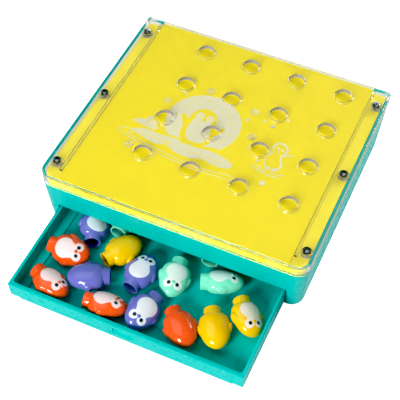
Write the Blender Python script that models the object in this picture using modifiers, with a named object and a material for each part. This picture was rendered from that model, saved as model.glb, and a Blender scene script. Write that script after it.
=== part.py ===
"""Four in a row frame: a peg board on a box whose drawer stores sixteen penguin pegs.

The box frame has X to the right, Y to the back and Z up, with its origin on the table
under the middle of the box. An empty carries that frame, so that the world's origin is
under the middle of the whole object while its drawer stands open.
"""

import math

import bmesh
import bpy
from mathutils import Matrix, Vector

MM = 0.001

# The box: a teal base, a yellow deck and a clear cover, one on the other.
HALF_WIDTH = 97.2 * MM
HALF_DEPTH = 86.0 * MM
HEIGHT = 46.8 * MM
GAP = 0.3 * MM                      # between pieces that touch
OVERLAP = 0.5 * MM                  # how far shapes that are joined sink into each other

# How finely round shapes are divided
CORNER_STEPS = 5
BORE_SIDES = 10
POST_SIDES = 12
HOLE_SIDES = 16
MERGE_DISTANCE = 0.01 * MM
SHARP_ANGLE = math.radians(40)

# Base shell
BASE_TOP = 37.2 * MM
BASE_WALL = 2.2 * MM
BASE_DRAFT = 2.5 * MM               # how far the walls lean in from top to bottom
BASE_CORNER = 9.0 * MM
LINTEL_BOTTOM = 17.0 * MM
MOUTH_HALF_WIDTH = 84.8 * MM
GUIDE_WALL = 2.0 * MM
LEDGE_WIDTH = 7.2 * MM
LEDGE_THICKNESS = 1.5 * MM
TOP_RIM_WIDTH = 7.0 * MM
TOP_RIM_THICKNESS = 2.2 * MM
POST_RADIUS = 3.6 * MM
POST_BOTTOM = 12.0 * MM
MOUTH_DEPTH = 3 * BASE_WALL          # the mouth is cut this far in, through wall and corner

# Clear cover
COVER_PLATE = 2.4 * MM
SKIRT_WALL = 2.0 * MM
SKIRT_BOTTOM = BASE_TOP + GAP
REAR_CORNER = 1.5 * MM
HOLES_PER_SIDE = 4
HOLE_PITCH = 36.0 * MM
HOLE_RADIUS = 6.15 * MM
COLLAR_RADIUS = 7.2 * MM
BOARD_CENTRE = (12.6 * MM, 14.8 * MM)   # the holes sit off centre, to the right and back
RIB_X = 85.2 * MM
RIB_THICKNESS = 1.8 * MM
RIB_HALF_LENGTH = 75.4 * MM
REAR_RIB_FRONT = 77.0 * MM
BOSS_RADIUS = 3.9 * MM
WEB_THICKNESS = 1.2 * MM

# Deck and card under the cover
DECK_CLEARANCE = 0.4 * MM
DECK_TOP = 41.8 * MM
DECK_THICKNESS = 2.0 * MM
DECK_WALL = 2.0 * MM
CARD_THICKNESS = 1.2 * MM
CARD_BOTTOM = DECK_TOP + GAP
CARD_TOP = CARD_BOTTOM + CARD_THICKNESS
CARD_CLEARANCE = 0.5 * MM
CARD_FRONT = -83.0 * MM
CARD_BACK = 85.4 * MM

# Screws that hold the cover and the deck to the base
SCREW_X = 91.0 * MM
SCREW_Y = (-70.0 * MM, 0.0, 70.0 * MM)
SCREW_HEAD_RADIUS = 2.6 * MM
SCREW_HEAD_HEIGHT = 1.6 * MM
SCREW_SHANK_RADIUS = 1.3 * MM
SCREW_BORE_RADIUS = 1.7 * MM
SCREW_SHANK_BOTTOM = 28.0 * MM
SCREW_HEAD_DOME = 0.9 * MM          # height of the head's domed part
SCREW_CROWN = (0.75, 0.3 * MM)      # part of the radius, and drop, of the point between crown and rim
SCREW_POINT = 1.2 * MM              # length of the tip
SCREW_BORE_SPARE = 1.5 * MM         # room in the post under the tip
COUNTERBORE_RADIUS = 3.0 * MM
COUNTERBORE_DEPTH = 2.6 * MM

# Drawer, modelled closed: its front is then flush with the base
DRAWER_HALF_WIDTH = 84.1 * MM
DRAWER_TOP = 15.2 * MM
DRAWER_BOTTOM = 0.4 * MM
DRAWER_FRONT = -84.5 * MM           # at the rim
DRAWER_BACK = 80.0 * MM
DRAWER_LEAN = 1.1 * MM              # its front follows the base's draft
DRAWER_FLOOR = 1.0 * MM
DRAWER_SIDE_WALL = 2.1 * MM
DRAWER_FRONT_WALL = 3.4 * MM
DRAWER_BACK_WALL = 2.0 * MM
NOTCH_WIDTH = LEDGE_WIDTH + 0.1 * MM
NOTCH_TOP = LEDGE_THICKNESS + GAP
SCOOP_HALF_WIDTH = 7.5 * MM
SCOOP_DEPTH = 1.1 * MM
SCOOP_BOTTOM = 5.0 * MM
SCOOP_TOP = 12.4 * MM
STOP_FRONT = 26.7 * MM
STOP_LENGTH = 6.0 * MM
STOP_TOP = 21.0 * MM
DRAWER_OUT = 70.5 * MM              # how far the drawer stands open

# Penguin peg, standing on its stem, whose end is STEM_LENGTH under Z = 0. Its belly faces -Y
PEG_WIDE = 10.2 * MM                # half width of the oval body
PEG_DEEP = 7.05 * MM                # half depth of the oval body
PEG_WAIST = 8.0 * MM                # height of the widest part
PEG_TOP = 23.5 * MM
PEG_BELLY_DROP = 10.4 * MM          # from the widest part down to the body's lower pole
PEG_SHOULDER = 3.0                  # how square the lower half is: 2 would be an oval
PEG_SIDES = 12
HEAD_ANGLES = (90, 72, 50, 26, 3)   # where the head's outline has its points, in degrees
SHOULDER_DROPS = (0.55, 0.87, 1.0)  # where the lower half has them, as parts of its drop
STEM_RADIUS = 5.8 * MM
STEM_BORE_RADIUS = 4.9 * MM
BORE_TOP = 4.0 * MM                 # the hollow of the stem goes up into the body
STEM_LENGTH = 5.8 * MM
STEM_ROOT = 3.0 * MM
FLIPPER_AT = (9.2 * MM, 0.0, 9.8 * MM)
FLIPPER_HALF_SIZE = (1.9 * MM, 3.1 * MM, 4.7 * MM)
FLIPPER_TILT = math.radians(20)
FLIPPER_STEPS = (6, 4)              # round the flipper and along it
PEG_REST_HEIGHT = DRAWER_BOTTOM + DRAWER_FLOOR + GAP + PEG_DEEP
ROLLED_PEG_LIFT = 0.36 * MM         # a peg that leans on its side stands this much higher

RED, PURPLE, YELLOW, MINT = "red", "purple", "yellow", "mint"
# Each peg in the open drawer: colour, stem end X and Y in mm from the box's middle with the
# drawer open, the way its head points in degrees from +X, and its roll from belly up.
PEGS = [
    (PURPLE, -51.4, -98.8, 112, -24),
    (RED, -77.2, -111.3, 2, -24),
    (RED, -74.7, -134.0, -21, 24),
    (PURPLE, -27.5, -117.9, -155, 180),
    (YELLOW, -36.7, -108.3, 62, 180),
    (MINT, -39.4, -83.9, 91, 0),
    (PURPLE, -11.7, -121.0, 85, 0),
    (MINT, 9.9, -87.3, -81, 12),
    (RED, -34.4, -141.5, 9, 24),
    (PURPLE, 7.8, -119.5, -103, 24),
    (RED, 21.4, -124.4, -44.5, 180),
    (MINT, 28.9, -96.9, 22, 24),
    (YELLOW, 44.8, -113.6, -59, 180),
    (YELLOW, 58.9, -98.8, -50, 24),
    (MINT, 28.0, -80.0, 95, 0),
    (YELLOW, 67.0, -73.0, 100, 180),
]

# Colour, roughness, metallic and alpha of each material
FINISHES = {
    "teal_plastic": ((0.0, 0.46, 0.42), 0.35, 0.0, 1.0),
    "yellow_plastic": ((0.93, 0.72, 0.03), 0.40, 0.0, 1.0),
    "card_print": ((0.95, 0.80, 0.04), 0.55, 0.0, 1.0),
    "clear_plastic": ((0.90, 0.95, 0.93), 0.08, 0.0, 0.3),
    "screw_steel": ((0.30, 0.30, 0.31), 0.30, 1.0, 1.0),
    "peg_red": ((0.95, 0.06, 0.01), 0.25, 0.0, 1.0),
    "peg_purple": ((0.19, 0.18, 0.58), 0.25, 0.0, 1.0),
    "peg_yellow": ((1.0, 0.58, 0.0), 0.25, 0.0, 1.0),
    "peg_mint": ((0.08, 0.78, 0.45), 0.25, 0.0, 1.0),
}


def start_scene():
    """Empty the file and make the collections of the parts and of the cutters."""
    for obj in list(bpy.data.objects):
        bpy.data.objects.remove(obj, do_unlink=True)
    for name in ("four_in_a_row_frame", "cutters"):
        bpy.context.scene.collection.children.link(bpy.data.collections.new(name))


def make_material(name):
    """Return the named material, with the finish from FINISHES."""
    if name in bpy.data.materials:
        return bpy.data.materials[name]
    colour, roughness, metallic, alpha = FINISHES[name]
    material = bpy.data.materials.new(name)
    material.use_nodes = True
    shader = material.node_tree.nodes["Principled BSDF"]
    shader.inputs["Base Color"].default_value = (*colour, 1.0)
    shader.inputs["Roughness"].default_value = roughness
    shader.inputs["Metallic"].default_value = metallic
    shader.inputs["Alpha"].default_value = alpha
    return material


def add_empty(name, location, parent=None):
    """An empty that carries a frame. It is not a part."""
    empty = bpy.data.objects.new(name, None)
    empty.location = location
    empty.parent = parent
    bpy.data.collections["four_in_a_row_frame"].objects.link(empty)
    return empty


def add_part(name, mesh, parent, material):
    """A real piece of the object."""
    obj = bpy.data.objects.new(name, mesh)
    obj.parent = parent
    if not mesh.materials:
        mesh.materials.append(None)
    obj.material_slots[0].link = "OBJECT"
    obj.material_slots[0].material = make_material(material)
    bpy.data.collections["four_in_a_row_frame"].objects.link(obj)
    return obj


def add_cutter(name, mesh, parent=None):
    """A shape that cuts or is joined to a part, and is never seen itself."""
    obj = bpy.data.objects.new(name, mesh)
    obj.parent = parent
    obj.hide_render = True
    obj.display_type = "WIRE"
    bpy.data.collections["cutters"].objects.link(obj)
    return obj


def combine(obj, tool, operation):
    """Cut a shape out of an object, or join the shape to it."""
    modifier = obj.modifiers.new(operation.lower(), "BOOLEAN")
    modifier.operation = operation
    modifier.object = tool
    modifier.solver = "EXACT"


def finish_mesh(name, bm):
    """Turn a bmesh into a mesh whose faces point outwards."""
    bmesh.ops.recalc_face_normals(bm, faces=bm.faces)
    mesh = bpy.data.meshes.new(name)
    bm.to_mesh(mesh)
    bm.free()
    return mesh


def add_box(bm, low, high):
    """Add a box between two corners to a bmesh, and return its vertices."""
    low, high = Vector(low), Vector(high)
    size = high - low
    place = Matrix.Translation((low + high) / 2) @ Matrix.Diagonal((*size, 1.0))
    return bmesh.ops.create_cube(bm, size=1.0, matrix=place)["verts"]


def add_cylinder(bm, x, y, low, high, radius, sides):
    """Add an upright cylinder to a bmesh, and return its vertices."""
    place = Matrix.Translation((x, y, (low + high) / 2))
    return bmesh.ops.create_cone(bm, cap_ends=True, segments=sides, radius1=radius, radius2=radius,
                                 depth=high - low, matrix=place)["verts"]


def boxes_mesh(name, corners):
    """One mesh of several boxes, each given as its low and high corner."""
    bm = bmesh.new()
    for low, high in corners:
        add_box(bm, low, high)
    return finish_mesh(name, bm)


def cylinders_mesh(name, centres, low, high, radius, sides):
    """One mesh of equal upright cylinders."""
    bm = bmesh.new()
    for x, y in centres:
        add_cylinder(bm, x, y, low, high, radius, sides)
    return finish_mesh(name, bm)


def rounded_block(name, half_width, half_depth, bottom, top, front_radius, rear_radius, draft=0.0):
    """A block with rounded upright edges, whose lower face is drawn in by the draft."""
    bm = bmesh.new()
    add_box(bm, (-half_width, -half_depth, bottom), (half_width, half_depth, top))
    for radius, side in ((front_radius, -1), (rear_radius, 1)):
        edges = [edge for edge in bm.edges
                 if abs(edge.verts[0].co.z - edge.verts[1].co.z) > (top - bottom) / 2
                 and edge.verts[0].co.y * side > 0]
        bmesh.ops.bevel(bm, geom=edges, offset=radius, offset_type="OFFSET",
                        segments=CORNER_STEPS, profile=0.5, affect="EDGES")
    middle = (bottom + top) / 2
    for vert in bm.verts:
        if vert.co.z < middle:
            vert.co.x -= math.copysign(draft, vert.co.x)
            vert.co.y -= math.copysign(draft, vert.co.y)
    return finish_mesh(name, bm)


def mirrored(low, high):
    """A box on the right of the object and its twin on the left."""
    return [(low, high), ((-high[0], low[1], low[2]), (-low[0], high[1], high[2]))]


def screw_places():
    """X and Y of the six screws."""
    return [(side * SCREW_X, y) for side in (-1, 1) for y in SCREW_Y]


def hole_places():
    """X and Y of the sixteen peg holes."""
    steps = [(index - (HOLES_PER_SIDE - 1) / 2) * HOLE_PITCH for index in range(HOLES_PER_SIDE)]
    return [(BOARD_CENTRE[0] + x, BOARD_CENTRE[1] + y) for y in steps for x in steps]


def make_base_shell(frame):
    """The open-bottomed teal box, with the drawer's mouth, its guides and the screw posts."""
    base = add_part("base_shell", rounded_block("base_shell", HALF_WIDTH, HALF_DEPTH, 0.0, BASE_TOP,
                    BASE_CORNER, BASE_CORNER, BASE_DRAFT), frame, "teal_plastic")
    room = rounded_block("base_room", HALF_WIDTH - BASE_WALL, HALF_DEPTH - BASE_WALL, -OVERLAP,
                         BASE_TOP - TOP_RIM_THICKNESS, BASE_CORNER - BASE_WALL,
                         BASE_CORNER - BASE_WALL, BASE_DRAFT)
    combine(base, add_cutter("base_room", room, frame), "DIFFERENCE")
    rim_hole = rounded_block("base_rim_hole", HALF_WIDTH - TOP_RIM_WIDTH - BASE_WALL - POST_RADIUS,
                             HALF_DEPTH - TOP_RIM_WIDTH - BASE_WALL, BASE_TOP - 2 * TOP_RIM_THICKNESS,
                             BASE_TOP + OVERLAP, BASE_CORNER / 2, BASE_CORNER / 2)
    combine(base, add_cutter("base_rim_hole", rim_hole, frame), "DIFFERENCE")

    inner_front = -(HALF_DEPTH - BASE_WALL) + OVERLAP
    inner_back = HALF_DEPTH - BASE_WALL - BASE_DRAFT + OVERLAP
    guides = mirrored((MOUTH_HALF_WIDTH, inner_front, 0.0),
                      (MOUTH_HALF_WIDTH + GUIDE_WALL, inner_back, LINTEL_BOTTOM + OVERLAP))
    ledges = mirrored((MOUTH_HALF_WIDTH - LEDGE_WIDTH, inner_front + BASE_DRAFT, 0.0),
                      (MOUTH_HALF_WIDTH + OVERLAP, inner_back - OVERLAP / 2, LEDGE_THICKNESS))
    for name, corners in (("base_guides", guides), ("base_ledges", ledges)):
        combine(base, add_cutter(name, boxes_mesh(name, corners), frame), "UNION")

    posts = cylinders_mesh("base_posts", screw_places(), POST_BOTTOM,
                           BASE_TOP - TOP_RIM_THICKNESS + OVERLAP, POST_RADIUS, POST_SIDES)
    combine(base, add_cutter("base_posts", posts, frame), "UNION")
    bores = cylinders_mesh("base_bores", screw_places(), SCREW_SHANK_BOTTOM - SCREW_BORE_SPARE,
                           BASE_TOP + OVERLAP, SCREW_BORE_RADIUS, BORE_SIDES)
    combine(base, add_cutter("base_bores", bores, frame), "DIFFERENCE")

    mouth_back = -HALF_DEPTH + MOUTH_DEPTH
    mouth = boxes_mesh("base_mouth", [((-MOUTH_HALF_WIDTH, -HALF_DEPTH - OVERLAP, LEDGE_THICKNESS),
                                       (MOUTH_HALF_WIDTH, mouth_back, LINTEL_BOTTOM))])
    combine(base, add_cutter("base_mouth", mouth, frame), "DIFFERENCE")
    ledge_edge = MOUTH_HALF_WIDTH - LEDGE_WIDTH
    mouth_foot = boxes_mesh("base_mouth_foot", [((-ledge_edge, -HALF_DEPTH - OVERLAP, -OVERLAP),
                                                 (ledge_edge, mouth_back, LEDGE_THICKNESS + OVERLAP))])
    combine(base, add_cutter("base_mouth_foot", mouth_foot, frame), "DIFFERENCE")
    return base


def make_deck(frame):
    """The yellow plate with downturned edges that lies on the base under the card."""
    half_width = HALF_WIDTH - SKIRT_WALL - DECK_CLEARANCE
    half_depth = HALF_DEPTH - SKIRT_WALL - DECK_CLEARANCE
    corner = BASE_CORNER - SKIRT_WALL
    deck = add_part("yellow_deck", rounded_block("yellow_deck", half_width, half_depth, SKIRT_BOTTOM,
                    DECK_TOP, corner, REAR_CORNER), frame, "yellow_plastic")
    room = rounded_block("deck_room", half_width - DECK_WALL, half_depth - DECK_WALL,
                         SKIRT_BOTTOM - OVERLAP, DECK_TOP - DECK_THICKNESS, corner - DECK_WALL,
                         REAR_CORNER / 2)
    combine(deck, add_cutter("deck_room", room, frame), "DIFFERENCE")
    bores = cylinders_mesh("deck_bores", screw_places(), SKIRT_BOTTOM, DECK_TOP + OVERLAP,
                           SCREW_BORE_RADIUS, BORE_SIDES)
    combine(deck, add_cutter("deck_bores", bores, frame), "DIFFERENCE")
    return deck


def make_card(frame):
    """The challenge card between the guide ribs. It comes out at the back."""
    half_width = RIB_X - RIB_THICKNESS / 2 - CARD_CLEARANCE
    mesh = boxes_mesh("challenge_card", [((-half_width, CARD_FRONT, CARD_BOTTOM),
                                          (half_width, CARD_BACK, CARD_TOP))])
    return add_part("challenge_card", mesh, frame, "card_print")


def make_cover(frame):
    """The clear cover: plate, skirt open at the back, card guide ribs, bosses, collars, holes."""
    cover = add_part("clear_cover", rounded_block("clear_cover", HALF_WIDTH, HALF_DEPTH, SKIRT_BOTTOM,
                     HEIGHT, BASE_CORNER, REAR_CORNER), frame, "clear_plastic")
    plate_bottom = HEIGHT - COVER_PLATE
    room = rounded_block("cover_room", HALF_WIDTH - SKIRT_WALL, HALF_DEPTH - SKIRT_WALL,
                         SKIRT_BOTTOM - OVERLAP, plate_bottom, BASE_CORNER - SKIRT_WALL,
                         REAR_CORNER / 2)
    combine(cover, add_cutter("cover_room", room, frame), "DIFFERENCE")

    rib_outside = RIB_X + RIB_THICKNESS / 2
    rib_inside = RIB_X - RIB_THICKNESS / 2
    exit_slot = boxes_mesh("card_exit", [((-rib_inside, HALF_DEPTH - 2 * SKIRT_WALL,
                                           SKIRT_BOTTOM - OVERLAP),
                                          (rib_inside, HALF_DEPTH + OVERLAP, plate_bottom))])
    combine(cover, add_cutter("card_exit", exit_slot, frame), "DIFFERENCE")

    ribs = mirrored((rib_inside, -RIB_HALF_LENGTH, CARD_BOTTOM),
                    (rib_outside, RIB_HALF_LENGTH, plate_bottom + OVERLAP))
    ribs += mirrored((rib_inside + OVERLAP / 2, REAR_RIB_FRONT, CARD_BOTTOM),
                     (rib_outside, HALF_DEPTH - OVERLAP, plate_bottom + OVERLAP))
    combine(cover, add_cutter("cover_ribs", boxes_mesh("cover_ribs", ribs), frame), "UNION")

    webs = []
    for y in SCREW_Y:
        webs += mirrored((SCREW_X, y - WEB_THICKNESS / 2, CARD_BOTTOM + GAP),
                         (HALF_WIDTH - SKIRT_WALL + OVERLAP, y + WEB_THICKNESS / 2,
                          plate_bottom + OVERLAP))
    combine(cover, add_cutter("cover_webs", boxes_mesh("cover_webs", webs), frame), "UNION")
    bosses = cylinders_mesh("cover_bosses", screw_places(), CARD_BOTTOM, plate_bottom + OVERLAP,
                            BOSS_RADIUS, HOLE_SIDES)
    combine(cover, add_cutter("cover_bosses", bosses, frame), "UNION")
    collars = cylinders_mesh("cover_collars", hole_places(), CARD_TOP + GAP, plate_bottom + OVERLAP,
                             COLLAR_RADIUS, POST_SIDES)
    combine(cover, add_cutter("cover_collars", collars, frame), "UNION")

    holes = cylinders_mesh("cover_holes", hole_places(), CARD_TOP, HEIGHT + OVERLAP, HOLE_RADIUS,
                           HOLE_SIDES)
    combine(cover, add_cutter("cover_holes", holes, frame), "DIFFERENCE")
    counterbores = cylinders_mesh("cover_counterbores", screw_places(), HEIGHT - COUNTERBORE_DEPTH,
                                  HEIGHT + OVERLAP, COUNTERBORE_RADIUS, HOLE_SIDES)
    combine(cover, add_cutter("cover_counterbores", counterbores, frame), "DIFFERENCE")
    bores = cylinders_mesh("cover_bores", screw_places(), CARD_BOTTOM - OVERLAP, HEIGHT,
                           SCREW_BORE_RADIUS, BORE_SIDES)
    combine(cover, add_cutter("cover_bores", bores, frame), "DIFFERENCE")
    return cover


def turned_mesh(name, profile, sides):
    """A turned solid. Its profile of X and Z points runs down the outer side."""
    bm = bmesh.new()
    verts = [bm.verts.new((x, 0.0, z)) for x, z in profile]
    for first, second in zip(verts, verts[1:]):
        bm.edges.new((first, second))
    outline = bpy.data.meshes.new(name + "_outline")
    bm.to_mesh(outline)
    bm.free()
    lathe = add_cutter(name + "_lathe", outline)
    screw = lathe.modifiers.new("turn", "SCREW")
    screw.steps = sides
    screw.render_steps = sides
    screw.use_merge_vertices = True
    screw.merge_threshold = MERGE_DISTANCE
    mesh = evaluated_mesh(lathe)
    bpy.data.objects.remove(lathe, do_unlink=True)
    return mesh


def evaluated_mesh(obj):
    """The mesh of an object with its modifiers applied."""
    bpy.context.view_layer.update()
    graph = bpy.context.evaluated_depsgraph_get()
    return bpy.data.meshes.new_from_object(obj.evaluated_get(graph))


def make_screws(frame):
    """Six screws, each a domed head on a shank, sunk in the cover's bosses."""
    head_bottom = HEIGHT - COUNTERBORE_DEPTH + GAP
    head_top = head_bottom + SCREW_HEAD_HEIGHT
    crown_part, crown_drop = SCREW_CROWN
    profile = [(0.0, head_top), (SCREW_HEAD_RADIUS * crown_part, head_top - crown_drop),
               (SCREW_HEAD_RADIUS, head_top - SCREW_HEAD_DOME), (SCREW_HEAD_RADIUS, head_bottom),
               (SCREW_SHANK_RADIUS, head_bottom),
               (SCREW_SHANK_RADIUS, SCREW_SHANK_BOTTOM + SCREW_POINT), (0.0, SCREW_SHANK_BOTTOM)]
    mesh = turned_mesh("cover_screw", profile, BORE_SIDES)
    for index, (x, y) in enumerate(screw_places(), start=1):
        screw = add_part(f"cover_screw_{index}", mesh, frame, "screw_steel")
        screw.location = (x, y, 0.0)


def make_drawer(frame):
    """The shallow tray, with a raised step along each side that clears the base's ledges."""
    bm = bmesh.new()
    verts = add_box(bm, (-DRAWER_HALF_WIDTH, DRAWER_FRONT, DRAWER_BOTTOM),
                    (DRAWER_HALF_WIDTH, DRAWER_BACK, DRAWER_TOP))
    for vert in verts:
        if vert.co.y < 0 and vert.co.z < DRAWER_TOP / 2:
            vert.co.y += DRAWER_LEAN
    drawer = add_part("drawer_tray", finish_mesh("drawer_tray", bm), frame, "teal_plastic")

    notch_inside = DRAWER_HALF_WIDTH - NOTCH_WIDTH
    notches = mirrored((notch_inside, DRAWER_FRONT - OVERLAP, -OVERLAP),
                       (DRAWER_HALF_WIDTH + OVERLAP, DRAWER_BACK + OVERLAP, NOTCH_TOP))
    combine(drawer, add_cutter("drawer_notches", boxes_mesh("drawer_notches", notches), frame),
            "DIFFERENCE")

    inner_front = DRAWER_FRONT + DRAWER_FRONT_WALL
    inner_back = DRAWER_BACK - DRAWER_BACK_WALL
    inner_side = DRAWER_HALF_WIDTH - DRAWER_SIDE_WALL
    step_top = NOTCH_TOP + DRAWER_FLOOR
    room = boxes_mesh("drawer_room", [((-inner_side, inner_front, step_top),
                                       (inner_side, inner_back, DRAWER_TOP + OVERLAP))])
    well = boxes_mesh("drawer_well", [((-notch_inside + DRAWER_FLOOR, inner_front,
                                        DRAWER_BOTTOM + DRAWER_FLOOR),
                                       (notch_inside - DRAWER_FLOOR, inner_back,
                                        step_top + OVERLAP))])
    combine(drawer, add_cutter("drawer_room", room, frame), "DIFFERENCE")
    combine(drawer, add_cutter("drawer_well", well, frame), "DIFFERENCE")

    scoop = boxes_mesh("drawer_scoop", [((-SCOOP_HALF_WIDTH, DRAWER_FRONT - 2 * SCOOP_DEPTH,
                                          SCOOP_BOTTOM),
                                         (SCOOP_HALF_WIDTH, DRAWER_FRONT + SCOOP_DEPTH + DRAWER_LEAN / 2,
                                          SCOOP_TOP))])
    combine(drawer, add_cutter("drawer_scoop", scoop, frame), "DIFFERENCE")
    stops = mirrored((inner_side, STOP_FRONT, DRAWER_TOP - OVERLAP),
                     (DRAWER_HALF_WIDTH, STOP_FRONT + STOP_LENGTH, STOP_TOP))
    combine(drawer, add_cutter("drawer_stops", boxes_mesh("drawer_stops", stops), frame), "UNION")
    return drawer


def peg_profile():
    """Half outline of the peg's egg-shaped body, from its crown down to its lower pole."""
    points = []
    for angle in HEAD_ANGLES:
        rise, reach = math.sin(math.radians(angle)), math.cos(math.radians(angle))
        points.append((PEG_WIDE * reach, PEG_WAIST + (PEG_TOP - PEG_WAIST) * rise))
    for drop in SHOULDER_DROPS:
        reach = (1.0 - drop ** PEG_SHOULDER) ** (1.0 / PEG_SHOULDER)
        points.append((PEG_WIDE * reach, PEG_WAIST - PEG_BELLY_DROP * drop))
    points[0] = (0.0, PEG_TOP)
    return points


def make_peg_mesh():
    """One penguin peg: an oval egg of a body, two flippers and a hollow stem."""
    body = add_cutter("peg_body", turned_mesh("peg_body", peg_profile(), PEG_SIDES))
    body.data.transform(Matrix.Diagonal((1.0, PEG_DEEP / PEG_WIDE, 1.0, 1.0)))

    post = [(0.0, STEM_ROOT), (STEM_RADIUS, STEM_ROOT), (STEM_RADIUS, -STEM_LENGTH), (0.0, -STEM_LENGTH)]
    stem = add_cutter("peg_stem", turned_mesh("peg_stem", post, PEG_SIDES))
    hollow = [(0.0, BORE_TOP), (STEM_BORE_RADIUS, BORE_TOP),
              (STEM_BORE_RADIUS, -STEM_LENGTH - OVERLAP), (0.0, -STEM_LENGTH - OVERLAP)]
    bore = add_cutter("peg_bore", turned_mesh("peg_bore", hollow, PEG_SIDES))

    bm = bmesh.new()
    for side in (-1, 1):
        x, y, z = FLIPPER_AT
        place = (Matrix.Translation((side * x, y, z)) @ Matrix.Rotation(-side * FLIPPER_TILT, 4, "Y")
                 @ Matrix.Diagonal((*FLIPPER_HALF_SIZE, 1.0)))
        bmesh.ops.create_uvsphere(bm, u_segments=FLIPPER_STEPS[0], v_segments=FLIPPER_STEPS[1],
                                  radius=1.0, matrix=place)
    flippers = add_cutter("peg_flippers", finish_mesh("peg_flippers", bm))

    combine(body, stem, "UNION")
    combine(body, flippers, "UNION")
    combine(body, bore, "DIFFERENCE")
    mesh = evaluated_mesh(body)
    for tool in (body, stem, flippers, bore):
        bpy.data.objects.remove(tool, do_unlink=True)
    mesh.materials.clear()
    mesh.shade_smooth()
    mesh.set_sharp_from_angle(angle=SHARP_ANGLE)
    return mesh


def make_pegs(drawer_frame):
    """The sixteen pegs, four of each colour, lying in the drawer."""
    mesh = make_peg_mesh()
    count = {}
    for colour, x, y, heading, roll in PEGS:
        count[colour] = count.get(colour, 0) + 1
        peg = add_part(f"penguin_peg_{colour}_{count[colour]}", mesh, drawer_frame, "peg_" + colour)
        turn, lean = math.radians(heading), math.radians(roll)
        head = Vector((math.cos(turn), math.sin(turn), 0.0))
        left = Vector((-math.sin(turn), math.cos(turn), 0.0))
        back = -(math.cos(lean) * Vector((0.0, 0.0, 1.0)) + math.sin(lean) * left)
        side = back.cross(head)
        peg.rotation_euler = Matrix((side, back, head)).transposed().to_euler()
        rise = PEG_REST_HEIGHT + (ROLLED_PEG_LIFT if roll not in (0, 180) else 0.0)
        stem_end = Vector((x * MM, y * MM + DRAWER_OUT, rise))
        peg.location = stem_end + head * STEM_LENGTH


def main():
    start_scene()
    middle_of_object = (HALF_DEPTH + DRAWER_FRONT - DRAWER_OUT) / 2
    box_frame = add_empty("box_frame", (0.0, -middle_of_object, 0.0))
    drawer_frame = add_empty("drawer_frame", (0.0, -DRAWER_OUT, 0.0), box_frame)
    make_base_shell(box_frame)
    make_deck(box_frame)
    make_card(box_frame)
    make_cover(box_frame)
    make_screws(box_frame)
    make_drawer(drawer_frame)
    make_pegs(drawer_frame)


main()
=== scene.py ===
"""The looks of the four in a row frame: a peg board on a box, whose drawer holds sixteen pegs.

Lengths are in metres. The box frame has X to the right, Y to the back and Z up, with its
origin on the table under the middle of the box. The drawer frame is the same frame,
carried forward with the open drawer. The card's picture and the print on the pegs are
given in millimetres.
"""

import math

import bmesh
import bpy
from mathutils import Matrix, Vector


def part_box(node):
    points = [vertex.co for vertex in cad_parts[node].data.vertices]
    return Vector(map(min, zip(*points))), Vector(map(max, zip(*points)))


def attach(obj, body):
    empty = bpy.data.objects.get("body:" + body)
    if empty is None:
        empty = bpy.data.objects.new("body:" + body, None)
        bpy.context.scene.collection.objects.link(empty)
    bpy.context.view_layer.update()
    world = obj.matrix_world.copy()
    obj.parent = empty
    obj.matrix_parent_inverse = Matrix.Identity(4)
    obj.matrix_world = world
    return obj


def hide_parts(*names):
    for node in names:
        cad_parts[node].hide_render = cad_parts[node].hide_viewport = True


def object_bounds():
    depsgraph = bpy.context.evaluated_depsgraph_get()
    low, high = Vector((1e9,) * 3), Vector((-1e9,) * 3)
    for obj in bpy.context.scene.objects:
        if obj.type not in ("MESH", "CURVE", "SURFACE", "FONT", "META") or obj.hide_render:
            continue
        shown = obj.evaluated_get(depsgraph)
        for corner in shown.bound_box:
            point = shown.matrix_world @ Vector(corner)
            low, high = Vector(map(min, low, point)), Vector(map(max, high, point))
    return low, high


MM = 0.001

# The box: a teal base, a yellow deck and a clear cover, one on the other.
HALF_WIDTH = 97.2 * MM
HALF_DEPTH = 86.0 * MM
HEIGHT = 46.8 * MM
GAP = 0.3 * MM  # between pieces that touch
OVERLAP = 0.5 * MM  # how far shapes that are joined sink into each other

# Base shell
BASE_TOP = 37.2 * MM
BASE_WALL = 2.2 * MM
BASE_DRAFT = 2.5 * MM  # how far the walls lean in from top to bottom
BASE_CORNER = 9.0 * MM
LINTEL_BOTTOM = 17.0 * MM
MOUTH_HALF_WIDTH = 84.8 * MM
GUIDE_WALL = 2.0 * MM
LEDGE_WIDTH = 7.2 * MM
LEDGE_THICKNESS = 1.5 * MM
TOP_RIM_WIDTH = 7.0 * MM
TOP_RIM_THICKNESS = 2.2 * MM
POST_RADIUS = 3.6 * MM
POST_BOTTOM = 12.0 * MM

# Clear cover
COVER_PLATE = 2.4 * MM
SKIRT_WALL = 2.0 * MM
SKIRT_BOTTOM = BASE_TOP + GAP
REAR_CORNER = 1.5 * MM
HOLES_PER_SIDE = 4
HOLE_PITCH = 36.0 * MM
HOLE_RADIUS = 6.15 * MM
COLLAR_RADIUS = 7.2 * MM
BOARD_CENTRE = (12.6 * MM, 14.8 * MM)
RIB_X = 85.2 * MM
RIB_THICKNESS = 1.8 * MM
RIB_HALF_LENGTH = 75.4 * MM
REAR_RIB_FRONT = 77.0 * MM
BOSS_RADIUS = 3.9 * MM
WEB_THICKNESS = 1.2 * MM

# Deck and card under the cover
DECK_CLEARANCE = 0.4 * MM
DECK_TOP = 41.8 * MM
DECK_THICKNESS = 2.0 * MM
DECK_WALL = 2.0 * MM
CARD_BOTTOM = DECK_TOP + GAP
CARD_TOP = CARD_BOTTOM + 1.2 * MM
CARD_CLEARANCE = 0.5 * MM
CARD_FRONT = -83.0 * MM
CARD_BACK = 85.4 * MM

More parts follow.
